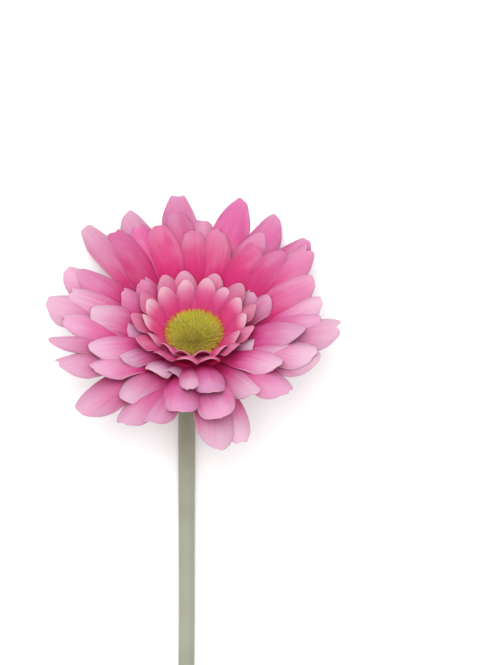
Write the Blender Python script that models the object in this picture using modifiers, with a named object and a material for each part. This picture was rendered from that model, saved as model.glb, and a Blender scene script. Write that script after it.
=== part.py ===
"""A cut gerbera lying on a table: the stem runs along Y with its cut end at -Y, and the flower
head is at +Y. The head faces up and away from the stem. It rests on the tips of its far
petals and on the stem, whose neck bends from the head's axis down to the table.

Metres, +Z up. The origin is at the table, under the middle of the flower's outline.
The head's own frame has its origin in the middle of the disc and its +Z the way it faces.
"""

import math
import random
from typing import NamedTuple

import bmesh
import bpy
from mathutils import Matrix, Vector

MM = 0.001
GAP = 0.3 * MM  # between pieces that touch
NAME = "gerbera"

# --- The head's place over the table
HEAD_TILT = math.radians(40)  # from straight up towards +Y
DISC_ABOVE_TABLE = 26.8 * MM
HEAD_TO_TABLE = Matrix.Translation((0, 0, DISC_ABOVE_TABLE)) @ Matrix.Rotation(-HEAD_TILT, 4, "X")

# --- The stem, measured from the middle of the disc
STEM_END = 422.6 * MM  # how far its cut end lies from the disc
STEM_TOP_RADIUS = 3.6 * MM
STEM_END_RADIUS = 2.8 * MM
STEM_SIDES = 8
STEM_SHIFT = -3.5 * MM  # where it lies beside the head's middle
STEM_BOW = -9.4 * MM  # how much further aside its cut end lies
BOW_FROM = 110 * MM  # where along it that bow begins
BOW_POWER = 1.7
NECK_RADIUS = 16 * MM
NECK_POINTS = 7
STEM_POINTS = 12

# --- The disc, the hubs that hold the petals, and the calyx, in the head's frame
DISC_RADIUS = 10.2 * MM  # of its core, which the bristles lean out over
DISC_BASE = -2.6 * MM
DISC_EDGE = -1.4 * MM
DISC_TOP = -0.2 * MM
BRISTLES = 80
BRISTLE_RADIUS = 1.05 * MM
BRISTLE_LENGTH = 2.9 * MM
BRISTLE_LEAN = math.radians(42)  # of the outermost
BRISTLE_SUNK = 0.5 * MM  # length of it inside the core
BOWL_TOP = DISC_BASE - GAP  # the bowl holds the inner petals under the disc
BOWL_DEPTH = 2.2 * MM
BOWL_FLOOR_RADIUS = 10.7 * MM
BOWL_RADIUS = 15.5 * MM
BOWL_RIM = (2.4 * MM, 4 * MM)  # heights of the rim's lower and upper edge over the floor
FUNNEL_TOP = BOWL_TOP - BOWL_DEPTH - GAP  # the funnel holds the ray petals under the bowl
FUNNEL_DEPTH = 9.6 * MM
FUNNEL_FLOOR_RADIUS = 11.4 * MM
FUNNEL_RADIUS = 16.5 * MM
FUNNEL_RIM = (-1.6 * MM, 3.4 * MM)
FUNNEL_FOOT = 2 * MM  # height of its straight foot
FUNNEL_FOOT_RADIUS = 10.5 * MM
CALYX_TOP = FUNNEL_TOP - FUNNEL_DEPTH - GAP
CALYX_DEPTH = 7 * MM
CALYX_BOTTOM = CALYX_TOP - CALYX_DEPTH
CALYX_RADIUS = 11.8 * MM
CALYX_LIP = 0.4 * MM
TURNED_SIDES = 24

# --- Petals
BLADE = 0.7 * MM  # thickness
TABLE_CLEARANCE = 0.02 * MM
STAGGER = 0.9  # millimetres by which every other petal lies over its neighbours
CUPPED_FROM = 0.5  # share of the length past which a petal is fully cupped
CUPPING = 0.25  # how far its edges then fall below the midrib, as a share of half its width
ROUNDING = 0.09  # how far the tip's corners fall back, as a share of the length
NOTCH_WIDTH = 0.3  # of the notch in the tip, as a share of half the width
MOST_TWIST = math.radians(12)
MOST_SWAY = 0.05  # the tip's shift to one side, as a share of the length
NOTCHES = (-0.02, 0.06)  # range of the notch's depth; below zero there is none
SEED = 5

# --- Surfaces
PETAL_SMOOTH = math.radians(35)
BRISTLE_SMOOTH = math.radians(50)
FLAT_WITHIN = math.radians(1)


class Whorl(NamedTuple):
    """A ring of petals. Lengths are in millimetres and angles in degrees."""

    count: int
    first: float  # azimuth of the first petal, from +X towards +Y
    length: float
    width: float
    outline: tuple  # its width at the root, where it is widest, and its width at the tip, as shares
    root: tuple  # radius and height where the petals start
    lifts: tuple  # slope of the midrib at its root and at its tip
    loose: tuple  # largest random change of azimuth, share of length, and lift of the tip
    strays: dict = {}  # petal number: those three changes, for one that stands out
    narrow: dict = {}  # petal number: its share of the width
    grid: tuple = (5, 2)  # faces along and across


RAY = (0.28, 0.66, 0.5)
SHORT = (0.4, 0.64, 0.5)
TONGUE = (0.8, 0.7, 0.7)
BRACT = (0.8, 0.3, 0.2)
RAY_WHORLS = (
    Whorl(
        18, -9, 57.7, 16, RAY, (9, -14), (36, 19), (3, 0.04, 4),
        {
            0: (1, 0.99, 0), 1: (-3, 0.84, 0), 2: (12, 1, 0), 3: (5, 1.02, 0), 4: (3, 1.06, 0),
            5: (5, 1.07, 0), 6: (3, 1.02, 0), 7: (6, 1.08, 0), 8: (3, 0.96, 0), 9: (1, 0.98, 0),
            10: (3, 0.99, 0), 11: (-6, 0.96, -6), 12: (-9, 0.97, -24), 13: (-7, 0.92, -14),
            14: (-19, 0.84, -8), 15: (-7, 0.89, -34), 16: (-22, 0.82, -40), 17: (7, 0.87, -4),
        },
        {7: 0.72, 10: 0.6, 13: 0.9, 14: 0.9},
    ),
    Whorl(
        18, -2, 49, 15.5, RAY, (9.5, -12), (44, 11), (3, 0.04, 4),
        {
            0: (-1, 0.96, 0), 1: (6, 1, 0), 2: (-5, 1.15, 0), 3: (-1, 1, 0), 4: (5, 1.01, 0),
            5: (-1, 1.09, 0), 6: (-3, 1.05, 0), 7: (-12, 1.08, 0), 8: (-2, 1.02, 0),
            9: (-13, 1, 0), 10: (-16, 1.03, 0), 11: (-6, 0.9, 0), 12: (-4, 0.87, -8),
            13: (4, 0.85, -4), 14: (7, 0.92, -6), 15: (8, 0.78, -4), 16: (-1, 0.99, -6),
            17: (1, 0.99, -4),
        },
    ),
    Whorl(
        13, -20, 39.4, 14.5, RAY, (10, -10), (54, 7), (3, 0.04, 4),
        {
            0: (3, 0.91, 0), 1: (-18, 1.06, 0), 2: (4, 1.17, 0), 3: (-7, 1.08, 0),
            4: (-14, 1.11, 0), 5: (-27, 1.09, 0), 6: (-40, 1.19, 0), 7: (0, 0.97, 0),
            8: (2, 1.06, 0), 9: (-16, 0.78, 6), 10: (9, 0.84, 10), 11: (-3, 0.91, 4),
            12: (12, 0.97, 0),
        },
        {9: 0.7, 10: 0.62, 11: 0.85},
    ),
    Whorl(
        8, 20, 27.4, 11.5, SHORT, (11, -9.6), (52, 24), (5, 0.05, 6),
        {
            0: (2, 1.02, 0), 1: (-30, 0.86, 8), 2: (24, 0.95, 6), 3: (-2, 1.01, 4),
            4: (-19, 0.8, 10), 5: (-11, 0.88, 0), 6: (-40, 0.7, 10), 7: (2, 0.75, 10),
        },
        grid=(4, 2),
    ),
)
CUP_WHORLS = (
    Whorl(
        13, 14, 20, 9, TONGUE, (10.3, -4.7), (57, 28), (3, 0.05, 4),
        {8: (0, 0.94, 6), 9: (2, 0.9, 10), 10: (-2, 0.9, 10), 11: (0, 0.94, 6)},
        grid=(4, 2),
    ),
    Whorl(
        14, 0, 16, 7.8, TONGUE, (10.6, -3.9), (62, 38), (2, 0.04, 3),
        {
            7: (0, 1, 2), 8: (2, 0.96, 6), 9: (3, 0.9, 14), 10: (-4, 0.86, 20),
            11: (-3, 0.88, 16), 12: (0, 0.94, 8), 13: (0, 1, 4),
        },
        grid=(4, 2),
    ),
)
BRACT_WHORLS = (
    Whorl(10, 5, 10, 6, BRACT, (10.8, -17.6), (46, 34), (3, 0.08, 3), grid=(3, 2)),
    Whorl(10, 23, 8, 5.4, BRACT, (9.6, -19), (54, 44), (3, 0.08, 3), grid=(3, 2)),
)


class Petal(NamedTuple):
    azimuth: float
    length: float
    width: float
    outline: tuple
    root: tuple
    lifts: tuple
    twist: float
    sway: float
    notch: float


def petals_of(whorl, draws):
    """The whorl's petals: even places, each with its random change or its own."""
    for number in range(whorl.count):
        change = [draws.uniform(-most, most) for most in whorl.loose]
        twist = draws.uniform(-MOST_TWIST, MOST_TWIST)
        sway = draws.uniform(-MOST_SWAY, MOST_SWAY)
        notch = draws.uniform(*NOTCHES)
        turn, share, rise = whorl.strays.get(number, (change[0], 1 + change[1], change[2]))
        azimuth = whorl.first + 360 / whorl.count * number + turn
        low, high = whorl.lifts
        yield Petal(
            math.radians(azimuth),
            whorl.length * share * MM,
            whorl.width * whorl.narrow.get(number, 1) * MM,
            whorl.outline,
            (whorl.root[0] * MM, (whorl.root[1] + STAGGER * (number % 2)) * MM),
            (math.radians(low), math.radians(high + rise)),
            twist,
            sway,
            max(0, notch),
        )


def width_share(u, outline):
    """Width at u along a petal, as a share of its greatest width."""
    waist, widest, tip = outline
    if u < widest:
        return waist + (1 - waist) * math.sin(math.pi / 2 * u / widest) ** 1.4
    return tip + (1 - tip) * (1 - ((u - widest) / (1 - widest)) ** 2.4) ** 0.7


def petal_point(petal, u, v):
    """The head's point at u from root to tip and v from edge to edge (-1 to 1) of a petal's middle."""
    notch = petal.notch * math.exp(-((v / NOTCH_WIDTH) ** 2))
    reach = u - u**6 * (ROUNDING * v * v + notch)
    low, high = petal.lifts
    angle = low + (high - low) * reach
    arc = petal.length / (high - low)
    half = petal.width / 2 * width_share(u, petal.outline)
    side = half * v
    fall = CUPPING * half * v * v * math.sin(math.pi / 2 * min(1, u / CUPPED_FROM))
    roll = petal.twist * u
    across = side * math.cos(roll) + fall * math.sin(roll) + petal.sway * petal.length * u * u
    above = side * math.sin(roll) - fall * math.cos(roll)
    out = petal.root[0] + arc * (math.sin(angle) - math.sin(low)) - above * math.sin(angle)
    up = petal.root[1] - arc * (math.cos(angle) - math.cos(low)) + above * math.cos(angle)
    return Matrix.Rotation(petal.azimuth, 3, "Z") @ Vector((out, across, up))


def over_table(point):
    """The head's point in the table's frame, kept above the table, where a petal's tip bends."""
    point = HEAD_TO_TABLE @ point
    point.z = max(point.z, BLADE / 2 + TABLE_CLEARANCE)
    return point


def add_object(name, mesh, collection):
    obj = bpy.data.objects.new(name, mesh)
    collection.objects.link(obj)
    return obj


def add_blade(name, point_at, grid, collection):
    """A thin curved blade: a grid whose points are moved by point_at(u, v), and thickened."""
    sheet = bmesh.new()
    bmesh.ops.create_grid(sheet, x_segments=grid[0], y_segments=grid[1], size=1)
    for vert in sheet.verts:
        along = 1 - ((1 - vert.co.x) / 2) ** 1.25
        vert.co = point_at(along, vert.co.y)
    bmesh.ops.triangulate(sheet, faces=sheet.faces[:])
    mesh = bpy.data.meshes.new(name)
    sheet.to_mesh(mesh)
    sheet.free()
    obj = add_object(name, mesh, collection)
    thicken = obj.modifiers.new("Thickness", "SOLIDIFY")
    thicken.thickness = BLADE
    thicken.offset = 0
    return obj


def add_petals(whorls, draws, collection):
    for ring, whorl in enumerate(whorls):
        for number, petal in enumerate(petals_of(whorl, draws)):
            add_blade(
                f"petal_{ring}_{number}",
                lambda u, v, petal=petal: over_table(petal_point(petal, u, v)),
                whorl.grid,
                collection,
            )


def add_turned(name, profile, collection):
    """A solid turned about the head's axis from (radius, height) points, from top to bottom."""
    outline = bmesh.new()
    corners = [outline.verts.new((radius, 0, height)) for radius, height in profile]
    for upper, lower in zip(corners, corners[1:]):
        outline.edges.new((upper, lower))
    mesh = bpy.data.meshes.new(name)
    outline.to_mesh(mesh)
    outline.free()
    obj = add_object(name, mesh, collection)
    obj.matrix_world = HEAD_TO_TABLE
    turn = obj.modifiers.new("Turn", "SCREW")
    turn.steps = turn.render_steps = TURNED_SIDES
    turn.use_merge_vertices = True
    turn.merge_threshold = 0.00001
    return obj


def islands_of(shape):
    """The sets of vertices of a bmesh that edges join."""
    left = set(shape.verts)
    while left:
        island = {left.pop()}
        edge_of_island = list(island)
        while edge_of_island:
            vert = edge_of_island.pop()
            near = {edge.other_vert(vert) for edge in vert.link_edges} - island
            island |= near
            edge_of_island += near
        left -= island
        yield island


def tidy_join(mesh):
    """Drops the pockets that a joined solid's blades sealed, and merges its coplanar scraps."""
    shape = bmesh.new()
    shape.from_mesh(mesh)
    for pocket in sorted(islands_of(shape), key=len)[:-1]:
        bmesh.ops.delete(shape, geom=list(pocket), context="VERTS")
    bmesh.ops.dissolve_limit(
        shape, angle_limit=FLAT_WITHIN, verts=shape.verts[:], edges=shape.edges[:]
    )
    bmesh.ops.triangulate(shape, faces=shape.faces[:])
    shape.to_mesh(mesh)
    shape.free()


def fuse(core, repeats, smooth_under):
    """Joins a collection of blades or bristles to their core in one solid, and removes them."""
    join = core.modifiers.new("Join", "BOOLEAN")
    join.operation = "UNION"
    join.operand_type = "COLLECTION"
    join.collection = repeats
    bpy.context.view_layer.update()
    evaluated = core.evaluated_get(bpy.context.evaluated_depsgraph_get())
    core.data = bpy.data.meshes.new_from_object(evaluated)
    core.modifiers.clear()
    tidy_join(core.data)
    for obj in list(repeats.objects):
        bpy.data.objects.remove(obj)
    bpy.data.collections.remove(repeats)
    core.data.shade_smooth()
    core.data.set_sharp_from_angle(angle=smooth_under)


def new_collection(name):
    collection = bpy.data.collections.new(name)
    bpy.context.scene.collection.children.link(collection)
    return collection


def disc_height(share):
    """Height of the disc's core at a share of its radius."""
    return DISC_TOP + (DISC_EDGE - DISC_TOP) * share**3


def add_bristles(collection):
    """Tapered bristles in a sunflower's spiral, leaning outwards more towards the rim."""
    golden = math.pi * (3 - math.sqrt(5))
    for number in range(BRISTLES):
        share = math.sqrt((number + 0.5) / BRISTLES)
        reach = share * (DISC_RADIUS - BRISTLE_RADIUS)
        place = (
            HEAD_TO_TABLE
            @ Matrix.Rotation(number * golden, 4, "Z")
            @ Matrix.Translation((reach, 0, disc_height(share)))
            @ Matrix.Rotation(BRISTLE_LEAN * share**2, 4, "Y")
            @ Matrix.Translation((0, 0, BRISTLE_LENGTH / 2 - BRISTLE_SUNK))
        )
        shape = bmesh.new()
        bmesh.ops.create_cone(
            shape, cap_ends=True, segments=3, radius1=BRISTLE_RADIUS,
            radius2=BRISTLE_RADIUS / 4, depth=BRISTLE_LENGTH, matrix=place,
        )
        mesh = bpy.data.meshes.new("bristle")
        shape.to_mesh(mesh)
        shape.free()
        add_object(f"bristle_{number}", mesh, collection)


def add_ray_petals(part):
    """Four whorls fused to a funnel that their roots are sunk in."""
    funnel = add_turned(
        "ray_petals",
        (
            (0, FUNNEL_TOP),
            (FUNNEL_FLOOR_RADIUS, FUNNEL_TOP),
            (FUNNEL_RADIUS, FUNNEL_TOP + FUNNEL_RIM[1]),
            (FUNNEL_RADIUS, FUNNEL_TOP + FUNNEL_RIM[0]),
            (FUNNEL_FOOT_RADIUS, FUNNEL_TOP - FUNNEL_DEPTH + FUNNEL_FOOT),
            (FUNNEL_FOOT_RADIUS, FUNNEL_TOP - FUNNEL_DEPTH),
            (0, FUNNEL_TOP - FUNNEL_DEPTH),
        ),
        part,
    )
    petals = new_collection("rays")
    add_petals(RAY_WHORLS, random.Random(SEED), petals)
    fuse(funnel, petals, PETAL_SMOOTH)
    return funnel


def add_inner_petals(part):
    """The cup round the disc: two whorls fused to a bowl that their roots are sunk in."""
    bowl = add_turned(
        "inner_petals",
        (
            (0, BOWL_TOP),
            (BOWL_FLOOR_RADIUS, BOWL_TOP),
            (BOWL_RADIUS, BOWL_TOP + BOWL_RIM[1]),
            (BOWL_RADIUS, BOWL_TOP + BOWL_RIM[0]),
            (BOWL_FLOOR_RADIUS, BOWL_TOP - BOWL_DEPTH),
            (0, BOWL_TOP - BOWL_DEPTH),
        ),
        part,
    )
    petals = new_collection("tongues")
    add_petals(CUP_WHORLS, random.Random(SEED + 1), petals)
    fuse(bowl, petals, PETAL_SMOOTH)
    return bowl


def add_disc(part):
    core = add_turned(
        "disc",
        (
            (0, DISC_TOP),
            (0.5 * DISC_RADIUS, disc_height(0.5)),
            (0.85 * DISC_RADIUS, disc_height(0.85)),
            (DISC_RADIUS, DISC_EDGE),
            (DISC_RADIUS, DISC_BASE),
            (0, DISC_BASE),
        ),
        part,
    )
    bristles = new_collection("bristles")
    add_bristles(bristles)
    fuse(core, bristles, BRISTLE_SMOOTH)
    return core


def add_calyx(part):
    """The green cup under the petals: a turned body with two rows of pointed bracts."""
    body = add_turned(
        "calyx",
        (
            (0, CALYX_TOP),
            (CALYX_RADIUS, CALYX_TOP),
            (CALYX_RADIUS + CALYX_LIP, CALYX_TOP - 0.1 * CALYX_DEPTH),
            (0.88 * CALYX_RADIUS, CALYX_TOP - 0.48 * CALYX_DEPTH),
            (0.58 * CALYX_RADIUS, CALYX_TOP - 0.82 * CALYX_DEPTH),
            (STEM_TOP_RADIUS + 2 * CALYX_LIP, CALYX_BOTTOM),
            (0, CALYX_BOTTOM),
        ),
        part,
    )
    bracts = new_collection("bracts")
    add_petals(BRACT_WHORLS, random.Random(SEED + 2), bracts)
    fuse(body, bracts, PETAL_SMOOTH)
    return body


def stem_route():
    """Points down the middle of the stem from the calyx to its cut end, each with its radius."""
    top = HEAD_TO_TABLE @ Vector((0, 0, CALYX_BOTTOM - GAP))
    bend = math.radians(90) - HEAD_TILT
    flat = math.cos(math.pi / STEM_SIDES)  # a facet's distance from the middle, over the radius
    drop = top.z - STEM_TOP_RADIUS * flat
    straight = (drop - NECK_RADIUS * (1 - math.cos(bend))) / math.sin(bend)
    start = top - straight * Vector((0, math.cos(bend), math.sin(bend)))
    yield top, STEM_TOP_RADIUS
    for step in range(NECK_POINTS + 1):
        turned = step / NECK_POINTS
        left = bend * (1 - turned)
        along = NECK_RADIUS * (math.sin(bend) - math.sin(left))
        down = NECK_RADIUS * (math.cos(left) - math.cos(bend))
        aside = STEM_SHIFT * turned**2 * (3 - 2 * turned)
        yield start + Vector((aside, -along, -down)), STEM_TOP_RADIUS
    neck_end = start.y - NECK_RADIUS * math.sin(bend)
    for step in range(1, STEM_POINTS + 1):
        share = step / STEM_POINTS
        y = neck_end + (-STEM_END - neck_end) * share
        radius = STEM_TOP_RADIUS + (STEM_END_RADIUS - STEM_TOP_RADIUS) * share
        bow = max(0, (-y - BOW_FROM) / (STEM_END - BOW_FROM)) ** BOW_POWER
        yield Vector((STEM_SHIFT + STEM_BOW * bow, y, radius * flat)), radius


def add_stem(part):
    curve = bpy.data.curves.new("stem", "CURVE")
    curve.dimensions = "3D"
    curve.twist_mode = "Z_UP"
    curve.bevel_depth = STEM_TOP_RADIUS
    curve.bevel_resolution = STEM_SIDES // 2 - 2
    curve.use_fill_caps = True
    route = list(stem_route())
    spline = curve.splines.new("POLY")
    spline.points.add(len(route) - 1)
    for point, (place, radius) in zip(spline.points, route):
        point.co = (*place, 1)
        point.radius = radius / STEM_TOP_RADIUS
        point.tilt = math.pi / STEM_SIDES  # turns one facet down to the table
    return add_object("stem", curve, part)


def give_material(obj, colour, roughness):
    """Gives the piece a matte material of its own. The colour is linear RGB."""
    material = bpy.data.materials.new(obj.name)
    material.use_nodes = True
    shader = material.node_tree.nodes["Principled BSDF"]
    shader.inputs["Base Color"].default_value = (*colour, 1)
    shader.inputs["Roughness"].default_value = roughness
    shader.inputs["Metallic"].default_value = 0
    obj.data.materials.clear()
    obj.data.materials.append(material)


def centre_over_origin(pieces):
    """Hangs the pieces on an empty that puts the middle of their outline over the origin."""
    bpy.context.view_layer.update()
    graph = bpy.context.evaluated_depsgraph_get()
    corners = []
    for piece in pieces:
        evaluated = piece.evaluated_get(graph)
        mesh = evaluated.to_mesh()
        corners += [evaluated.matrix_world @ vert.co for vert in mesh.vertices]
        evaluated.to_mesh_clear()
    middle = [(min(axis) + max(axis)) / 2 for axis in zip(*corners)]
    lowest = min(corner.z for corner in corners)
    root = add_object(NAME, None, pieces[0].users_collection[0])
    for piece in pieces:
        piece.parent = root
    root.location = (-middle[0], -middle[1], -lowest)


# --- Build
def main():
    for obj in list(bpy.data.objects):
        bpy.data.objects.remove(obj)
    part = new_collection(NAME)
    rays = add_ray_petals(part)
    inner = add_inner_petals(part)
    disc = add_disc(part)
    calyx = add_calyx(part)
    stem = add_stem(part)
    give_material(rays, (0.75, 0.16, 0.38), 0.7)
    give_material(inner, (0.78, 0.36, 0.5), 0.7)
    give_material(disc, (0.3, 0.3, 0.03), 0.8)
    give_material(calyx, (0.12, 0.22, 0.06), 0.7)
    give_material(stem, (0.33, 0.32, 0.24), 0.6)
    centre_over_origin([rays, inner, disc, calyx, stem])


main()
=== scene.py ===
"""The looks of a cut gerbera lying on a table: petals of dyed cloth, a disc like a brush, a green
calyx and a bare khaki stem. Each piece replaces one CAD node and keeps its place and form, with
finer shapes: the petals grow from the same whorls as the CAD's.

Metres in the CAD's frame: the table is at z = 0 and the stem runs along Y. The head's own frame
has its origin in the middle of the disc and its +Z the way it faces.
"""

import math
import random
from typing import NamedTuple

import bpy
import numpy as np
from mathutils import Matrix, Vector


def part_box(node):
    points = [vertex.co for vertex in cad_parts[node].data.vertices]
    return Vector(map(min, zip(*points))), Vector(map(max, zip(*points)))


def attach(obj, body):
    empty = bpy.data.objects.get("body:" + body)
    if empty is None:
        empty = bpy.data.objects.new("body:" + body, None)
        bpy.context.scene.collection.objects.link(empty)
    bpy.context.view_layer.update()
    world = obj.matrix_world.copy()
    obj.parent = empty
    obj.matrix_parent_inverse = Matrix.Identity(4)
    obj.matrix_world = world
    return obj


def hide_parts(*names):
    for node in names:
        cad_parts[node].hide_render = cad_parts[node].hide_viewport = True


MM = 0.001

# --- The head's place, as in the CAD
HEAD_TILT = math.radians(40)  # from straight up towards +Y
DISC_ABOVE_TABLE = 26.8 * MM
STEM_END = 422.6 * MM  # how far the stem's cut end lies from the disc
STEM_TOP_RADIUS = 3.6 * MM
STEM_END_RADIUS = 2.8 * MM
STEM_SIDES = 8  # of the CAD's stem
STEM_SHIFT = -3.5 * MM  # where it lies beside the head's middle
STEM_BOW = -9.4 * MM  # how much further aside its cut end lies
BOW_FROM = 110 * MM  # where along it that bow begins
BOW_POWER = 1.7
NECK_RADIUS = 16 * MM

# --- The head's heights and radii, as in the CAD
DISC_RADIUS = 10.2 * MM  # of its core, which the fibres lean out over
DISC_BASE = -2.6 * MM
DISC_EDGE = -1.4 * MM
DISC_TOP = -0.2 * MM
GAP = 0.3 * MM  # between pieces that touch
BOWL_TOP = DISC_BASE - GAP  # the bowl holds the inner petals under the disc
BOWL_DEPTH = 2.2 * MM
BOWL_FLOOR_RADIUS = 10.7 * MM
FUNNEL_TOP = BOWL_TOP - BOWL_DEPTH - GAP  # the funnel holds the ray petals under the bowl
FUNNEL_DEPTH = 9.6 * MM
FUNNEL_FLOOR_RADIUS = 11.4 * MM
FUNNEL_RADIUS = 16.5 * MM
FUNNEL_RIM = (-1.6 * MM, 3.4 * MM)  # heights of the rim's lower and upper edge over the top
FUNNEL_FOOT = 2 * MM  # height of its straight foot
FUNNEL_FOOT_RADIUS = 10.5 * MM
CALYX_TOP = FUNNEL_TOP - FUNNEL_DEPTH - GAP
CALYX_DEPTH = 7 * MM
CALYX_BOTTOM = CALYX_TOP - CALYX_DEPTH
CALYX_RADIUS = 11.8 * MM
CALYX_LIP = 0.4 * MM

# --- Petals, as in the CAD
STAGGER = 0.9  # millimetres by which every other petal lies over its neighbours
CUPPED_FROM = 0.5  # share of the length past which a petal is fully cupped
WAIST_POWER = 1.4  # of the curve of its outline from the root to where it is widest
TIP_POWERS = (2.4, 0.7)  # of the curve from there to the tip
MOST_TWIST = math.radians(12)
MOST_SWAY = 0.05  # the tip's shift to one side, as a share of the length
NOTCHES = (-0.02, 0.06)  # range of the notch's depth; below zero there is none
NOTCH_WIDTH = 0.3  # of the notch in the tip, as a share of half the width
TABLE_CLEARANCE = 0.02 * MM
SEED = 5

# --- Finer detail of the petals. Places across a petal run from -1 to 1, and along it from 0 to 1.
# Petals on the far side of the head have slim ends, and those on the near side have full ones.
LOOK_SEED = 41
ROWS_TO_TIP = 1.3  # power by which the rows of faces lie closer towards the tip
ROUND_END = 0.99  # share of a circle's width that the curve of a petal's end takes
FULL_TIP = 0.82  # width of the fullest end, as a share of the petal's greatest width
FULLNESS = (-0.2, 0.5)  # -sin(azimuth) between which ends go from slim to full
FULL_NOTCH = 0.4  # depth of a full end's notch, as a share of a slim one's
FULL_LOBED = 0.2  # how often a full end has lobes, as a share of the slim ones
LOBE_NOTCHES = ((0,), (0,), (-0.3, 0.32))  # between two lobes, twice as often, or between three
LOBE_SHIFT = 0.18  # largest random change of those places
LOBE_DEPTHS = (0.3, 1.4)  # range of their depth, as a share of the finish's
LOBE_WIDTH = 0.26
LOBE_POWER = 1.3
RAGGED = 0.4  # greatest depth of the ragged edge, in millimetres
RAGS = 9  # how fast it waves, in radians over half the width
END_PULL = 0.9  # how much the rows crowd at the end: under 1, so that they don't cross
LEAST_BACK = 0.11  # an end that falls back less bends as many rows as if it fell back this far
TIP_FROM = 0.6  # where the tip begins to curl
CREASES = (-0.36, 0.36)
CREASE_SHIFT = 0.08  # largest random change of those places
CREASE_WIDTH = 0.13
CREASED = (0.06, 0.91)  # part of a half wave that their depth follows, from root to tip
RUFFLE_WAVES = (1.2, 2.2)  # range of how many run along an edge
RIM_THICKNESS = 0.6  # of a petal, as a share of its whole thickness
THINNED = 1.2 * MM  # from the rim to where the petal has its whole thickness
NO_RIM = 9  # distance from the rim, in its widths, where none of it shows

# --- The wall that the inner petals merge in
WALL_REACH = 0.55  # how far up them it goes, as a share of their length
WALL_SUNK = (-0.55 * MM, 1.1 * MM)  # how far it lies under their midribs, from foot to rim
WALL_STEPS = 12

# --- The disc's brush. Lengths are in millimetres and angles in degrees
FIBRES = 2200
FIBRE_LENGTHS = (2.4, 3.7)
FIBRE_RADII = (0.13, 0.21)
FIBRE_TAPER = (1, 1, 0.95, 0.75, 0.35)  # its thickness from root to tip
FIBRE_SIDES = 3
FIBRE_LEAN = 6  # of those in the middle
RIM_LEAN = 62  # further lean of those at the rim
LOOSE_LEAN = 10  # largest random change
LOOSE_TURN = 0.05  # the same for their place round the disc, in radians
LOOSE_TWIST = 0.35  # largest lean sideways, as a share of the lean outwards
FIBRE_BENDS = (0.1, 0.5)  # range of the bend of those at the rim, in radians
FIBRE_INSET = 0.4 * MM  # from the rim of the core to the outermost
FIBRE_SUNK = 0.3 * MM
FRINGE = (0.8, 0.9)  # shares of the radius between which the warm fringe comes in
FRINGE_STRENGTHS = (0.5, 1)  # range of its random strength
FRINGE_TURN = (0.6, 0.4)  # what multiplies that: its mean, and its rise towards the far side
FAR_TONE = 0.3  # how much the tone rises towards the disc's far side

# --- The stem's finer detail
STEM_SHARE = 0.96  # of the CAD's radius
RIBS = 9
RIB_HEIGHT = 0.012  # share of the radius
SWELL = 0.01  # share of the radius by which the rod swells and thins
SWELL_LENGTH = 17 * MM  # of stem for each radian of that wave
CUT_EDGE = (  # share of the radius, shortfall, and paleness from the edge to the middle of the cut
    (1, 0.15 * MM, 0), (0.97, 0.04 * MM, 0.5), (0.9, 0, 1), (0.45, 0, 1),
)

# --- Fineness of the turned pieces and of the stem
CORNER_CUTS = 2
FUNNEL_SIDES = 48
BOWL_SIDES = 96
CORE_SIDES = 48
CORE_POINTS = 14
CALYX_SIDES = 60
ROD_SIDES = 40
NECK_STEPS = 24
ROD_STEPS = 60


class Whorl(NamedTuple):
    """A ring of petals. Lengths are in millimetres and angles in degrees."""

    count: int
    first: float  # azimuth of the first petal, from +X towards +Y
    length: float
    width: float
    outline: tuple  # its width at the root and where it is widest, as shares
    root: tuple  # radius and height where the petals start
    lifts: tuple  # slope of the midrib at its root and at its tip
    loose: tuple  # largest random change of azimuth, share of length, and lift of the tip
    strays: dict = {}  # petal number: those three changes, where they are set and not drawn
    narrow: dict = {}  # petal number: its share of the width


class Finish(NamedTuple):
    """How the petals of a whorl are finished."""

    grid: tuple  # faces along and across
    thickness: float
    cupping: float  # fall of the edges below the midrib, as a share of half the width
    tip_cupping: float  # the same, added towards the tip
    drop: float  # how far the tip curls down, as a share of the length
    rounding: tuple  # range of how far the tip's corners fall back, as a share of the length
    blunter: tuple  # what multiplies that at a slim end and at a full one
    tip: tuple  # range of the width at the tip
    fuller: tuple  # how far that goes on towards FULL_TIP at a slim end and at a full one
    crease: float  # depth of the two lengthwise creases
    ruffle: float  # height of the waves along the edges
    toothed: float  # share of petals with lobes; above zero, all are notched and ragged as well
    lobe: float  # depth of the notches between its lobes
    deep: tuple  # how far the deep colour of the root reaches on the near and the far side; the difference between the sides is painted shade
    pale: tuple  # range of how pale the tip is
    dulled: tuple  # share of that paleness that the near and the far side lack: painted shade on those sides
    rim: float  # width of the dull rim, in millimetres
    tone: tuple  # range of brightness


RAY = (0.28, 0.66)
SHORT = (0.4, 0.64)
TONGUE = (0.8, 0.7)
BRACT = (0.8, 0.3)
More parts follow.
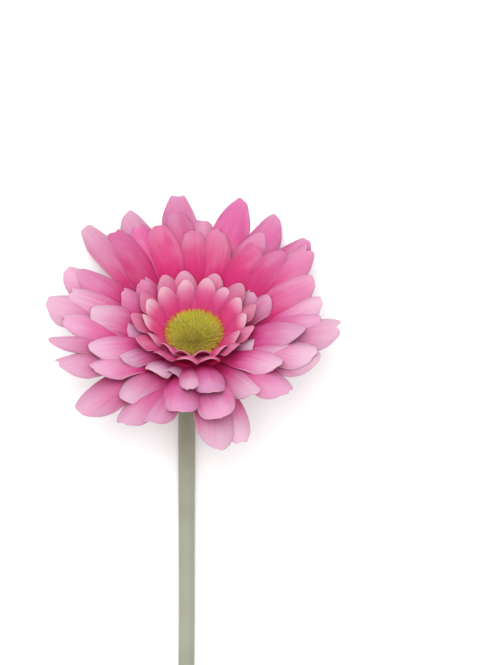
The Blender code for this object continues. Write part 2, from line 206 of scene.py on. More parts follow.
# The changes of azimuth and length in these four whorls' strays were fitted by another program,
# apart from eight petals that were changed afterwards.
RAY_WHORLS = (
    Whorl(
        18, -9, 57.7, 16, RAY, (9, -14), (36, 19), (3, 0.04, 4),
        {
            0: (1, 0.99, 0), 1: (-3, 0.84, 0), 2: (12, 1, 0), 3: (5, 1.02, 0), 4: (3, 1.06, 0),
            5: (5, 1.07, 0), 6: (3, 1.02, 0), 7: (6, 1.08, 0), 8: (3, 0.96, 0), 9: (1, 0.98, 0),
            10: (3, 0.99, 0), 11: (-6, 0.96, -6), 12: (-9, 0.97, -24), 13: (-7, 0.92, -14),
            14: (-19, 0.84, -8), 15: (-7, 0.89, -34), 16: (-22, 0.82, -40), 17: (7, 0.87, -4),
        },
        {7: 0.72, 10: 0.6, 13: 0.9, 14: 0.9},
    ),
    Whorl(
        18, -2, 49, 15.5, RAY, (9.5, -12), (44, 11), (3, 0.04, 4),
        {
            0: (-1, 0.96, 0), 1: (6, 1, 0), 2: (-5, 1.15, 0), 3: (-1, 1, 0), 4: (5, 1.01, 0),
            5: (-1, 1.09, 0), 6: (-3, 1.05, 0), 7: (-12, 1.08, 0), 8: (-2, 1.02, 0),
            9: (-13, 1, 0), 10: (-16, 1.03, 0), 11: (-6, 0.9, 0), 12: (-4, 0.87, -8),
            13: (4, 0.85, -4), 14: (7, 0.92, -6), 15: (8, 0.78, -4), 16: (-1, 0.99, -6),
            17: (1, 0.99, -4),
        },
    ),
    Whorl(
        13, -20, 39.4, 14.5, RAY, (10, -10), (54, 7), (3, 0.04, 4),
        {
            0: (3, 0.91, 0), 1: (-18, 1.06, 0), 2: (4, 1.17, 0), 3: (-7, 1.08, 0),
            4: (-14, 1.11, 0), 5: (-27, 1.09, 0), 6: (-40, 1.19, 0), 7: (0, 0.97, 0),
            8: (2, 1.06, 0), 9: (-16, 0.78, 6), 10: (9, 0.84, 10), 11: (-3, 0.91, 4),
            12: (12, 0.97, 0),
        },
        {9: 0.7, 10: 0.62, 11: 0.85},
    ),
    Whorl(
        8, 20, 27.4, 11.5, SHORT, (11, -9.6), (52, 24), (5, 0.05, 6),
        {
            0: (2, 1.02, 0), 1: (-30, 0.86, 8), 2: (24, 0.95, 6), 3: (-2, 1.01, 4),
            4: (-19, 0.8, 10), 5: (-11, 0.88, 0), 6: (-40, 0.7, 10), 7: (2, 0.75, 10),
        },
    ),
)
CUP_WHORLS = (
    Whorl(
        13, 14, 20, 9, TONGUE, (10.3, -4.7), (57, 28), (3, 0.05, 4),
        {8: (0, 0.94, 6), 9: (2, 0.9, 10), 10: (-2, 0.9, 10), 11: (0, 0.94, 6)},
    ),
    Whorl(
        14, 0, 16, 7.8, TONGUE, (10.6, -3.9), (62, 38), (2, 0.04, 3),
        {
            7: (0, 1, 2), 8: (2, 0.96, 6), 9: (3, 0.9, 14), 10: (-4, 0.86, 20),
            11: (-3, 0.88, 16), 12: (0, 0.94, 8), 13: (0, 1, 4),
        },
    ),
)
BRACT_WHORLS = (
    Whorl(10, 5, 10, 6, BRACT, (10.8, -17.6), (46, 34), (3, 0.08, 3)),
    Whorl(10, 23, 8, 5.4, BRACT, (9.6, -19), (54, 44), (3, 0.08, 3)),
)
# The far side's deeper colour and its lack of paleness, set by side below, are painted shade.
RAY_FINISH = Finish(
    grid=(34, 18), thickness=0.42 * MM, cupping=0.4, tip_cupping=0.26, drop=0.02,
    rounding=(0.08, 0.12), blunter=(1.45, 2.15), tip=(0.6, 0.72), fuller=(0.225, 0.775),
    crease=0.22 * MM, ruffle=0.4 * MM, toothed=0.5, lobe=0.8 * MM, deep=(0.95, 1.35),
    pale=(0.1, 0.85), dulled=(0, 0.5), rim=0.5, tone=(0.9, 1.08),
)
OUTER_RAY_FINISH = RAY_FINISH._replace(deep=(0.95, 1.12), dulled=(0, 0.1))
INNER_RAY_FINISH = RAY_FINISH._replace(deep=(0.9, 1.6))
SHORT_FINISH = RAY_FINISH._replace(
    grid=(28, 18), deep=(0.8, 1.5), crease=0.15 * MM, lobe=0.7 * MM
)
RAY_FINISHES = (OUTER_RAY_FINISH, RAY_FINISH, INNER_RAY_FINISH, SHORT_FINISH)
# The cup's near side is deeper and lacks its pale tips, and the outer row's tips are less pale
# than the inner row's: painted shade.
OUTER_CUP_FINISH = Finish(
    grid=(24, 16), thickness=0.42 * MM, cupping=0.3, tip_cupping=0.2, drop=0,
    rounding=(0.15, 0.19), blunter=(1.2, 1.2), tip=(0.72, 0.8), fuller=(0, 0),
    crease=0.1 * MM, ruffle=0.1 * MM, toothed=0, lobe=0, deep=(1.6, 1),
    pale=(0.15, 0.45), dulled=(0.9, 0), rim=0.35, tone=(0.85, 1),
)
CUP_FINISH = OUTER_CUP_FINISH._replace(pale=(0.75, 1), tone=(0.97, 1.05), rounding=(0.19, 0.24))
BRACT_FINISH = Finish(
    grid=(12, 6), thickness=0.5 * MM, cupping=0.25, tip_cupping=0.1, drop=0,
    rounding=(0.1, 0.1), blunter=(1.2, 1.2), tip=(0.12, 0.16), fuller=(0, 0),
    crease=0.1 * MM, ruffle=0, toothed=0, lobe=0, deep=(1, 1),
    pale=(0, 0.3), dulled=(0, 0), rim=0.5, tone=(0.9, 1.1),
)


class Petal(NamedTuple):
    """One petal of a whorl, in metres and radians."""

    azimuth: float
    length: float
    width: float
    outline: tuple
    root: tuple
    lifts: tuple
    twist: float
    sway: float
    notch: float


def petals_of(whorl, draws):
    """The whorl's petals, in the CAD's order of random draws."""
    for number in range(whorl.count):
        change = [draws.uniform(-most, most) for most in whorl.loose]
        twist = draws.uniform(-MOST_TWIST, MOST_TWIST)
        sway = draws.uniform(-MOST_SWAY, MOST_SWAY)
        notch = draws.uniform(*NOTCHES)
        turn, share, rise = whorl.strays.get(number, (change[0], 1 + change[1], change[2]))
        azimuth = whorl.first + 360 / whorl.count * number + turn
        low, high = whorl.lifts
        yield Petal(
            math.radians(azimuth),
            whorl.length * share * MM,
            whorl.width * whorl.narrow.get(number, 1) * MM,
            whorl.outline,
            (whorl.root[0] * MM, (whorl.root[1] + STAGGER * (number % 2)) * MM),
            (math.radians(low), math.radians(high + rise)),
            twist,
            sway,
            max(0, notch),
        )


def smooth(low, high, value):
    """0 below low, 1 above high, and a smooth step between."""
    share = np.clip((value - low) / (high - low), 0, 1)
    return share * share * (3 - 2 * share)


def between(ends, share):
    """The value at a share of the way from the first end to the second."""
    return ends[0] + (ends[1] - ends[0]) * share


def width_share(u, outline, tip):
    """Width at u along a petal, as a share of its greatest width."""
    waist, widest = outline
    rise = np.sin(np.pi / 2 * np.clip(u / widest, 0, 1)) ** WAIST_POWER
    past = np.clip((u - widest) / (1 - widest), 0, 1)
    closing = (1 - past ** TIP_POWERS[0]) ** TIP_POWERS[1]
    return np.where(u < widest, waist + (1 - waist) * rise, tip + (1 - tip) * closing)


def midrib_point(root, lifts, length, reach, above):
    """Radius and height of a point over a midrib that curves evenly between its two slopes."""
    angle = between(lifts, reach)
    arc = length / (lifts[1] - lifts[0])
    out = root[0] + arc * (np.sin(angle) - math.sin(lifts[0])) - above * np.sin(angle)
    up = root[1] - arc * (np.cos(angle) - math.cos(lifts[0])) + above * np.cos(angle)
    return out, up


class Build:
    """Gathers vertices, faces and what the materials read of each vertex into one mesh."""

    LAYERS = ("along", "across", "rim", "pale", "tone", "deep")

    def __init__(self):
        self.points, self.faces, self.count = [], [], 0
        self.layers = {name: [] for name in self.LAYERS}

    def add(self, points, *faces, **layers):
        self.points.append(points)
        self.faces += [corners + self.count for corners in faces]
        self.count += len(points)
        for name in self.LAYERS:
            value = np.asarray(layers.get(name, 0.0), float)
            self.layers[name].append(np.broadcast_to(value, (len(points),)))

    def make_object(self, name, material, node):
        """Makes the mesh, lets it ride on the part, and shows it in place of the CAD node."""
        points = np.concatenate(self.points)
        mesh = bpy.data.meshes.new(name)
        loops = [face for group in self.faces for face in group.tolist()]
        mesh.from_pydata(points.tolist(), [], loops)
        for layer, values in self.layers.items():
            attribute = mesh.attributes.new(layer, "FLOAT", "POINT")
            attribute.data.foreach_set("value", np.concatenate(values).astype(np.float32))
        mesh.shade_smooth()
        mesh.update()
        obj = bpy.data.objects.new(name, mesh)
        bpy.context.scene.collection.objects.link(obj)
        obj.data.materials.append(material)
        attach(obj, "root")
        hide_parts(node)


def grid_faces(rows, columns, wrap=False):
    """Quads of a grid of points with that many rows and columns."""
    last = columns if wrap else columns - 1
    row, column = np.meshgrid(np.arange(rows - 1), np.arange(last), indexing="ij")
    following = (column + 1) % columns
    return np.stack(
        [
            row * columns + column,
            (row + 1) * columns + column,
            (row + 1) * columns + following,
            row * columns + following,
        ],
        axis=-1,
    ).reshape(-1, 4)


def to_frame(points):
    """The head's points in the CAD's frame."""
    turned = points @ np.array(HEAD_TO_FRAME.to_3x3()).T
    return turned + np.array(HEAD_TO_FRAME.translation)


def normals_of(surface):
    """Unit normals of a grid of points."""
    along = np.gradient(surface, axis=0)
    across = np.gradient(surface, axis=1)
    normal = np.cross(along, across)
    return normal / np.linalg.norm(normal, axis=-1, keepdims=True)


def add_blade(build, middle, thickness, **layers):
    """A closed sheet over both sides of a grid of points. Layers go by point of the grid."""
    shape = middle.shape[:2]
    half = normals_of(middle) * thickness[..., None] / 2
    upper = (middle + half).reshape(-1, 3)
    lower = (middle - half).reshape(-1, 3)
    count = len(upper)
    index = np.arange(count).reshape(shape)
    edge = np.concatenate([index[0, :], index[1:, -1], index[-1, -2::-1], index[-2:0:-1, 0]])
    following = np.roll(edge, -1)
    strip = np.stack([following, following + count, edge + count, edge], axis=-1)
    sheet = grid_faces(*shape)
    both = {
        name: np.tile(np.broadcast_to(value, shape).reshape(-1), 2)
        for name, value in layers.items()
    }
    faces = np.concatenate([sheet, sheet[:, ::-1] + count, strip])
    build.add(np.concatenate([upper, lower]), faces, **both)


def round_end(v):
    """How far a petal's round end falls back across it: 0 in its middle and 1 at its sides."""
    return (1 - np.sqrt(1 - (ROUND_END * v) ** 2)) / (1 - math.sqrt(1 - ROUND_END**2))


def lobes_at(v, petal, finish, look):
    """How far the notches between a petal's lobes cut into its end, as a share of its length."""
    cut = 0
    for place in look.choice(LOBE_NOTCHES):
        at = place + look.uniform(-LOBE_SHIFT, LOBE_SHIFT)
        depth = look.uniform(*LOBE_DEPTHS) * finish.lobe / petal.length
        cut = cut + depth * np.clip(1 - np.abs(v - at) / LOBE_WIDTH, 0, 1) ** LOBE_POWER
    return cut


def fall_at(u, v, half, petal, finish, phase, look):
    """How far a petal falls below its midrib: cupped, curled down, creased and ruffled."""
    cupped = np.sin(np.pi / 2 * np.clip(u / CUPPED_FROM, 0, 1))
    tip_cupped = smooth(TIP_FROM, 1, u)
    fall = half * v * v * (finish.cupping * cupped + finish.tip_cupping * tip_cupped)
    curled = np.clip((u - TIP_FROM) / (1 - TIP_FROM), 0, 1) ** 2
    fall = fall + finish.drop * petal.length * curled
    creased = finish.crease * np.sin(np.pi * between(CREASED, u))
    shift = look.uniform(-CREASE_SHIFT, CREASE_SHIFT)
    for place in CREASES:
        fall = fall + creased * np.exp(-(((v - place - shift) / CREASE_WIDTH) ** 2))
    waves = look.uniform(*RUFFLE_WAVES)
    ruffle = finish.ruffle * look.uniform(-1, 1)
    return fall + ruffle * np.abs(v) ** 3 * u * np.sin(2 * math.pi * waves * u + phase + v)


def petal_points(petal, u, side, fall, reach):
    """The head's points of a petal, at a distance beside its midrib and a fall below it."""
    roll = petal.twist * u
    across = side * np.cos(roll) + fall * np.sin(roll) + petal.sway * petal.length * u * u
    above = side * np.sin(roll) - fall * np.cos(roll)
    out, up = midrib_point(petal.root, petal.lifts, petal.length, reach, above)
    cos, sin = math.cos(petal.azimuth), math.sin(petal.azimuth)
    return np.stack([out * cos - across * sin, out * sin + across * cos, up], axis=-1)


def add_petal(build, petal, finish, look):
    """A closed thin blade: creased, ruffled and notched, and thinnest at its rim."""
    rows, columns = finish.grid
    u = (1 - (1 - np.linspace(0, 1, rows + 1)) ** ROWS_TO_TIP)[:, None]
    v = np.sin(np.pi / 2 * np.linspace(-1, 1, columns + 1))[None, :]
    near = max(0, -math.sin(petal.azimuth))
    far = max(0, math.sin(petal.azimuth))
    full = smooth(*FULLNESS, -math.sin(petal.azimuth))
    rounding = look.uniform(*finish.rounding) * between(finish.blunter, full)
    tip = look.uniform(*finish.tip)
    tip = tip + (FULL_TIP - tip) * between(finish.fuller, full)
    back = rounding * round_end(v)
    if finish.toothed:
        notch = petal.notch * between((1, FULL_NOTCH), full)
        back = back + notch * np.exp(-((v / NOTCH_WIDTH) ** 2))
    if look.random() < finish.toothed * between((1, FULL_LOBED), full):
        back = back + lobes_at(v, petal, finish, look)
    phase = look.uniform(0, 2 * math.pi)
    if finish.toothed:
        ragged = look.uniform(0, RAGGED) * MM / petal.length
        back = back + ragged * np.sin(v * RAGS + phase)
    reach = u - u ** (END_PULL / np.maximum(back, LEAST_BACK)) * back
    half = petal.width / 2 * width_share(u, petal.outline, tip)
    side = half * v
    fall = fall_at(u, v, half, petal, finish, phase, look)
    middle = to_frame(petal_points(petal, u, side, fall, reach))
    middle[..., 2] = np.maximum(middle[..., 2], finish.thickness / 2 + TABLE_CLEARANCE)
    rim = np.minimum(half * (1 - np.abs(v)), petal.length * (1 - u))
    add_blade(
        build,
        middle,
        finish.thickness * between((RIM_THICKNESS, 1), smooth(0, THINNED, rim)),
        along=u,
        across=side + look.uniform(0, 1),
        rim=rim / (finish.rim * MM),
        # Less paleness on the near or far side, and deep colour reaching further on one side, are
        # painted shade.
        pale=look.uniform(*finish.pale) * (1 - finish.dulled[0] * near - finish.dulled[1] * far),
        tone=look.uniform(*finish.tone),
        deep=between(finish.deep, far),
    )


def add_skin(build, rings, ends, **layers):
    """A closed solid over rings of points, closed by a fan at both ends. Layers go by ring."""
    rows, sides = rings.shape[:2]
    column = np.arange(sides)
    following = (column + 1) % sides
    last = (rows - 1) * sides
    top = np.stack([np.full(sides, rows * sides), column, following], axis=-1)
    bottom = np.stack([np.full(sides, rows * sides + 1), last + following, last + column], axis=-1)
    spread = {}
    for name, value in layers.items():
        value = np.broadcast_to(np.asarray(value, float), (rows,))
        spread[name] = np.append(np.repeat(value, sides), [value[0], value[-1]])
    points = np.concatenate([rings.reshape(-1, 3), ends])
    build.add(points, grid_faces(rows, sides, wrap=True), top, bottom, **spread)


def add_turned(build, profile, sides, **layers):
    """A closed solid turned about the head's axis, from (radius, height) points at the axis, down
    its outside, and back to the axis."""
    turns = np.linspace(0, 2 * np.pi, sides, endpoint=False)
    rings = [
        np.stack([radius * np.cos(turns), radius * np.sin(turns), 0 * turns + height], axis=-1)
        for radius, height in profile[1:-1]
    ]
    ends = np.array([(0, 0, profile[0][1]), (0, 0, profile[-1][1])])
    add_skin(build, to_frame(np.stack(rings)), to_frame(ends), **layers)


def rounded(profile):
    """The profile with its corners smoothed, by cutting them a quarter of the way, and again."""
    points = np.array(profile, float)
    for _ in range(CORNER_CUTS):
        ends = (points[:-1], points[1:])
        cut = np.stack([between(ends, 0.25), between(ends, 0.75)], axis=1).reshape(-1, 2)
        points = np.concatenate([points[:1], cut, points[-1:]])
    return points


# --- Materials. Colours are linear, and noise scales are per metre
STREAK_SCALE = 0.9  # of the dye's streaks, per millimetre across a petal
STREAK_RUN = 1.6  # millimetres of width that a petal's whole length counts as
STREAK_SHIFT = 0.16  # how far the streaks shift the dye along the petal
PATCH = 7 * MM  # size of the faded patches
PATCH_RUN = 3  # how much longer than wide they are
PATCHES = (0.4, 0.75)  # noise between which they come in
FADING = (0.3, 0.9)  # places along the petal between which they come in
FADED = 0.25  # their strength
TIPPED_AT = 1.16  # where the pale tip is palest, past the end so that streaks reach it
TIP_STREAKS = 0.25  # how far the streaks shift the pale tip
RIM_EDGE = (0.15, 1)  # distances from the edge between which the dull rim goes out
RIM_ALONG = (0.3, 0.8)  # places along the petal between which it comes in
RIM_STRENGTH = 0.5
THREAD = 0.4 * MM  # from one thread of the cloth to the next
CLOTH_GLOW = 0.2  # share of light that passes through the cloth's surface
CLOTH_GLOW_RADIUS = (1, 0.25, 0.45)
CLOTH_GLOW_SCALE = 1.5 * MM
CLOTH_BUMP = (0.35, 0.05 * MM)  # strength and height

BRUSH_STOPS = ((0, (0.36, 0.3, 0.01)), (0.45, (0.5, 0.41, 0.015)), (1, (0.6, 0.5, 0.05)))
BRUSH_GREEN = (0.45, 0.46, 0.03)
GREENER = (0.55, 1)  # tones between which fibres turn green
BRUSH_CREAM = (0.62, 0.52, 0.1)
CREAMIER = (0.4, 0)  # tones between which they turn cream
BRUSH_FRINGE = (0.8, 0.16, 0.03)
FRINGE_SHARE = 0.9  # how much of its colour the fringe takes
BRUSH_GRAIN = 2500
BRUSH_BUMP = (0.3, 0.05 * MM)

LEAF_STOPS = ((0, (0.07, 0.13, 0.03)), (1, (0.2, 0.3, 0.09)))
LEAF_BLOTCH = (0.16, 0.2, 0.08)
LEAF_BLOTCH_SCALE = 260
LEAF_BLOTCHED = 0.4  # their strength
LEAF_RIM = (0.3, 0.34, 0.16)
LEAF_RIM_EDGE = (0.1, 0.6)  # distances from the edge between which the pale rim goes out
LEAF_RIM_STRENGTH = 0.5
VEIN = 0.9 * MM  # from one vein to the next
LEAF_BUMP = (0.4, 0.08 * MM)

STEM_STOPS = (
    (0.25, (0.235, 0.245, 0.185)), (0.55, (0.285, 0.295, 0.225)), (0.8, (0.34, 0.35, 0.27)),
)
STEM_BANDS = 14  # scale of the soft bands, from one end to the other
STEM_BLOTCH = (0.26, 0.25, 0.19)
STEM_BLOTCH_SCALE = 90
STEM_BLOTCHES = (0.45, 0.8)  # noise between which they come in
STEM_BLOTCHED = 0.4  # their strength
# Painted shadow of the head on the stem, darkest where the stem leaves the calyx.
NECK_SHADOW_COLOUR = (0.2, 0.2, 0.1)
NECK_SHADOW_ALONG = 0.14  # share of the stem that it fades out over
NECK_SHADOW_STRENGTH = 0.5
CUT_COLOUR = (0.36, 0.36, 0.3)
STEM_GRAIN = 1800
STEM_GRAIN_SHARE = 0.5  # of its height, against the bands'
STEM_BUMP = (0.4, 0.12 * MM)

FLOOR_COLOUR = (0.92, 0.92, 0.92)


class Dye(NamedTuple):
    """The colours of a whorl's cloth."""

    stops: tuple  # place and colour, from root to tip
    pale: tuple  # of its tips and faded patches
    rim: tuple  # of its cut rim
    length: float  # of its petals, about
    pale_from: float  # place along the petal where the pale tip begins


RAY_DYE = Dye(
    stops=(
        (0, (0.46, 0.008, 0.075)),
        (0.45, (0.46, 0.022, 0.13)),
        (0.75, (0.49, 0.07, 0.235)),
        (1, (0.52, 0.17, 0.35)),
    ),
    pale=(0.58, 0.4, 0.48), rim=(0.58, 0.36, 0.37), length=55 * MM, pale_from=0.62,
)
INNER_DYE = Dye(
    stops=(
        (0, (0.6, 0.03, 0.1)),
        (0.35, (0.52, 0.045, 0.165)),
        (0.65, (0.52, 0.085, 0.22)),
        (1, (0.53, 0.17, 0.29)),
    ),
    pale=(0.58, 0.37, 0.43), rim=(0.58, 0.32, 0.36), length=17 * MM, pale_from=0.72,
)


class Nodes:
    """Shorthand for a material's node tree."""

    def __init__(self, name, roughness, sheen=0.0, shine=0.25):
        self.material = bpy.data.materials.new(name)
        self.material.use_nodes = True
        self.tree = self.material.node_tree
        self.shader = self.tree.nodes["Principled BSDF"]
        self.shader.inputs["Roughness"].default_value = roughness
        self.shader.inputs["Sheen Weight"].default_value = sheen
        self.shader.inputs["Specular IOR Level"].default_value = shine

    def link(self, source, target):
        self.tree.links.new(source, target)

    def node(self, kind, **settings):
        made = self.tree.nodes.new(kind)
        for key, value in settings.items():
            setattr(made, key, value)
        return made

    def fill(self, socket, value):
        """Links or sets a socket, whichever the value calls for."""
        if isinstance(value, bpy.types.NodeSocket):
            self.link(value, socket)
        else:
            socket.default_value = value

    def layer(self, name):
        """One of the mesh's own layers, such as the place along a petal."""
        return self.node("ShaderNodeAttribute", attribute_name=name).outputs["Fac"]

    def math(self, operation, first, second=0.0):
        made = self.node("ShaderNodeMath", operation=operation)
        for socket, value in zip(made.inputs, (first, second)):
            self.fill(socket, value)
        return made.outputs[0]

    def step(self, value, low, high, start=0.0, end=1.0):
        """A smooth step from start to end, as the value goes from low to high."""
        made = self.node("ShaderNodeMapRange", interpolation_type="SMOOTHSTEP")
        for socket, given in zip(made.inputs, (value, low, high, start, end)):
            self.fill(socket, given)
        return made.outputs[0]

    def vector(self, x, y, z):
        made = self.node("ShaderNodeCombineXYZ")
        for socket, value in zip(made.inputs, (x, y, z)):
            self.fill(socket, value)
        return made.outputs[0]

    def place(self):
        """The place on the object, in metres."""
        return self.node("ShaderNodeTexCoord").outputs["Object"]

    def noise(self, vector, scale, detail=2.0):
        made = self.node("ShaderNodeTexNoise")
        self.link(vector, made.inputs["Vector"])
        made.inputs["Scale"].default_value = scale
        made.inputs["Detail"].default_value = detail
        return made.outputs["Fac"]

    def ramp(self, value, stops):
        made = self.node("ShaderNodeValToRGB")
        self.link(value, made.inputs[0])
        ramp = made.color_ramp
        ramp.interpolation = "EASE"
        while len(ramp.elements) < len(stops):
            ramp.elements.new(0.5)
        for element, (place, colour) in zip(ramp.elements, stops):
            element.position = place
            element.color = (*colour, 1)
        return made.outputs["Color"]

    def mix(self, share, first, second, blend="MIX"):
        made = self.node("ShaderNodeMix", data_type="RGBA", blend_type=blend)
        colours = [socket for socket in made.inputs if socket.type == "RGBA"]
        self.fill(made.inputs[0], share)
        for socket, value in zip(colours, (first, second)):
            self.fill(socket, value if isinstance(value, bpy.types.NodeSocket) else (*value, 1))
        return [socket for socket in made.outputs if socket.type == "RGBA"][0]

    def bump(self, height, strength, distance):
        made = self.node("ShaderNodeBump")
        made.inputs["Strength"].default_value = strength
        made.inputs["Distance"].default_value = distance
        self.link(height, made.inputs["Height"])
        return made.outputs["Normal"]

    def finish(self, colour, normal):
        self.link(colour, self.shader.inputs["Base Color"])
        self.link(normal, self.shader.inputs["Normal"])
        return self.material


def weave(nodes, across, lengthwise):
    """Height of a fine plain weave."""
    threads = 2 * math.pi / THREAD
    warp = nodes.math("SINE", nodes.math("MULTIPLY", across, threads))
    weft = nodes.math("SINE", nodes.math("MULTIPLY", lengthwise, threads))
    return nodes.math("MULTIPLY", warp, weft)


def cloth_material(name, dye):
    """Dyed cloth: deep at the root, streaked lengthwise, pale at the tip, with a dull cut rim.
    How far the deep colour reaches and how pale the tip is carry painted shade as well, by side of
    the head.
    """
    nodes = Nodes(name, roughness=0.7, shine=0.12)
    nodes.shader.inputs["Subsurface Weight"].default_value = CLOTH_GLOW
    nodes.shader.inputs["Subsurface Radius"].default_value = CLOTH_GLOW_RADIUS
    nodes.shader.inputs["Subsurface Scale"].default_value = CLOTH_GLOW_SCALE
    along = nodes.layer("along")
    across = nodes.layer("across")
    place = nodes.vector(across, nodes.math("MULTIPLY", along, dye.length / PATCH_RUN), 0.0)
    stretched = nodes.vector(
        nodes.math("MULTIPLY", across, 1 / MM), nodes.math("MULTIPLY", along, STREAK_RUN), 0.0
    )
    streaks = nodes.noise(stretched, STREAK_SCALE, detail=3.0)
    patches = nodes.noise(place, 1 / PATCH)
    # The deep layer stretches the root's deep colour further on one side of the head: painted
    # shade.
    shifted = nodes.math(
        "ADD",
        nodes.math("DIVIDE", along, nodes.layer("deep")),
        nodes.math("MULTIPLY", nodes.math("SUBTRACT", streaks, 0.5), STREAK_SHIFT),
    )
    colour = nodes.ramp(shifted, dye.stops)
    faded = nodes.math("MULTIPLY", nodes.step(patches, *PATCHES), nodes.step(along, *FADING))
    colour = nodes.mix(nodes.math("MULTIPLY", faded, FADED), colour, dye.pale)
    # The pale layer is lower on the shaded side of the head: painted shade.
    streaked = nodes.math("ADD", along, nodes.math("MULTIPLY", streaks, TIP_STREAKS))
    tipped = nodes.step(streaked, dye.pale_from, TIPPED_AT)
    colour = nodes.mix(nodes.math("MULTIPLY", tipped, nodes.layer("pale")), colour, dye.pale)
    tone = nodes.layer("tone")
    colour = nodes.mix(1.0, colour, nodes.vector(tone, tone, tone), "MULTIPLY")
    edge = nodes.step(nodes.layer("rim"), *RIM_EDGE, 1.0, 0.0)
    cut = nodes.math("MULTIPLY", edge, nodes.step(along, *RIM_ALONG))
    colour = nodes.mix(nodes.math("MULTIPLY", cut, RIM_STRENGTH), colour, dye.rim)
    lengthwise = nodes.math("MULTIPLY", along, dye.length)
    height = nodes.math("ADD", weave(nodes, across, lengthwise), streaks)
    return nodes.finish(colour, nodes.bump(height, *CLOTH_BUMP))


def brush_material():
    """Fine fibres from olive to yellow, some greener or creamier, with an orange fringe."""
    nodes = Nodes("disc_brush", roughness=0.7, sheen=0.1)
    tone = nodes.layer("tone")
    colour = nodes.ramp(nodes.layer("along"), BRUSH_STOPS)
    colour = nodes.mix(nodes.step(tone, *GREENER), colour, BRUSH_GREEN)
    colour = nodes.mix(nodes.step(tone, *CREAMIER), colour, BRUSH_CREAM)
    fringe = nodes.math("MULTIPLY", nodes.layer("deep"), FRINGE_SHARE)
    colour = nodes.mix(fringe, colour, BRUSH_FRINGE)
    grain = nodes.noise(nodes.place(), BRUSH_GRAIN)
    return nodes.finish(colour, nodes.bump(grain, *BRUSH_BUMP))


def leaf_material():
    """Green plastic of the calyx, paler towards its points, with lengthwise veins."""
    nodes = Nodes("calyx_green", roughness=0.6)
    blotches = nodes.noise(nodes.place(), LEAF_BLOTCH_SCALE, detail=3.0)
    colour = nodes.ramp(nodes.layer("along"), LEAF_STOPS)
    colour = nodes.mix(nodes.math("MULTIPLY", blotches, LEAF_BLOTCHED), colour, LEAF_BLOTCH)
    edge = nodes.step(nodes.layer("rim"), *LEAF_RIM_EDGE, LEAF_RIM_STRENGTH, 0.0)
    colour = nodes.mix(edge, colour, LEAF_RIM)
    veins = nodes.math("SINE", nodes.math("MULTIPLY", nodes.layer("across"), 2 * math.pi / VEIN))
    return nodes.finish(colour, nodes.bump(veins, *LEAF_BUMP))


def stem_material():
    """Matte khaki plastic: soft bands and blotches, a painted shadow of the head darkening the
    neck, a pale cut and a felted skin.
    """
    nodes = Nodes("stem_khaki", roughness=0.68, sheen=0.15)
    along = nodes.layer("along")
    stretched = nodes.vector(0.0, nodes.math("MULTIPLY", along, STEM_BANDS), 0.0)
    bands = nodes.noise(stretched, 1.0, detail=3.0)
    place = nodes.place()
    blotches = nodes.noise(place, STEM_BLOTCH_SCALE, detail=3.0)
    grain = nodes.noise(place, STEM_GRAIN)
    colour = nodes.ramp(bands, STEM_STOPS)
    blotched = nodes.step(blotches, *STEM_BLOTCHES, 0.0, STEM_BLOTCHED)
    colour = nodes.mix(blotched, colour, STEM_BLOTCH)
    # Painted shadow of the head over the stem's neck.
    neck = nodes.step(along, NECK_SHADOW_ALONG, 0.0, 0.0, NECK_SHADOW_STRENGTH)
    colour = nodes.mix(neck, colour, NECK_SHADOW_COLOUR)
    colour = nodes.mix(nodes.layer("pale"), colour, CUT_COLOUR)
    height = nodes.math("ADD", bands, nodes.math("MULTIPLY", grain, STEM_GRAIN_SHARE))
    return nodes.finish(colour, nodes.bump(height, *STEM_BUMP))


# --- Pieces
def make_ray_petals():
    """Four whorls round a funnel that their roots are sunk in."""
    build = Build()
    funnel = rounded(
        (
            (0, FUNNEL_TOP),
            (FUNNEL_FLOOR_RADIUS, FUNNEL_TOP),
            (FUNNEL_RADIUS, FUNNEL_TOP + FUNNEL_RIM[1]),
            (FUNNEL_RADIUS, FUNNEL_TOP + FUNNEL_RIM[0]),
            (FUNNEL_FOOT_RADIUS, FUNNEL_TOP - FUNNEL_DEPTH + FUNNEL_FOOT),
            (FUNNEL_FOOT_RADIUS, FUNNEL_TOP - FUNNEL_DEPTH),
            (0, FUNNEL_TOP - FUNNEL_DEPTH),
        )
    )
    add_turned(build, funnel, FUNNEL_SIDES, along=0.05, rim=NO_RIM, tone=0.9, deep=1)
    draws = random.Random(SEED)
    look = random.Random(LOOK_SEED)
    for whorl, finish in zip(RAY_WHORLS, RAY_FINISHES):
        for petal in petals_of(whorl, draws):
            add_petal(build, petal, finish, look)
    material = cloth_material("ray_cloth", RAY_DYE)
    build.make_object("ray_petals_cloth", material, "ray_petals")


def wall_profile(whorl):
    """The wall that the lower parts of a whorl's petals merge in, up along their midribs."""
    root = [place * MM for place in whorl.root]
    lifts = [math.radians(lift) for lift in whorl.lifts]
    for share in np.linspace(0, 1, WALL_STEPS + 1):
        sunk = between(WALL_SUNK, share**2)
        yield midrib_point(root, lifts, whorl.length * MM, WALL_REACH * share, -sunk)


def make_inner_petals():
    """The cup round the disc: two whorls whose lower parts merge in a wall over a flat bowl."""
    build = Build()
    wall = list(wall_profile(CUP_WHORLS[1]))
    bowl = [(0, wall[0][1]), *wall]
    bowl += [(BOWL_FLOOR_RADIUS, BOWL_TOP - BOWL_DEPTH), (0, BOWL_TOP - BOWL_DEPTH)]
    shares = WALL_REACH * np.linspace(0, 1, len(wall))
    add_turned(build, bowl, BOWL_SIDES, along=[*shares, 0.1], rim=NO_RIM, tone=1, deep=1)
    draws = random.Random(SEED + 1)
    look = random.Random(LOOK_SEED + 1)
    for whorl, finish in zip(CUP_WHORLS, (OUTER_CUP_FINISH, CUP_FINISH)):
        for petal in petals_of(whorl, draws):
            add_petal(build, petal, finish, look)
    material = cloth_material("inner_cloth", INNER_DYE)
    build.make_object("inner_petals_cloth", material, "inner_petals")


def disc_height(share):
    """Height of the disc's core at a share of its radius."""
    return between((DISC_TOP, DISC_EDGE), share**3)


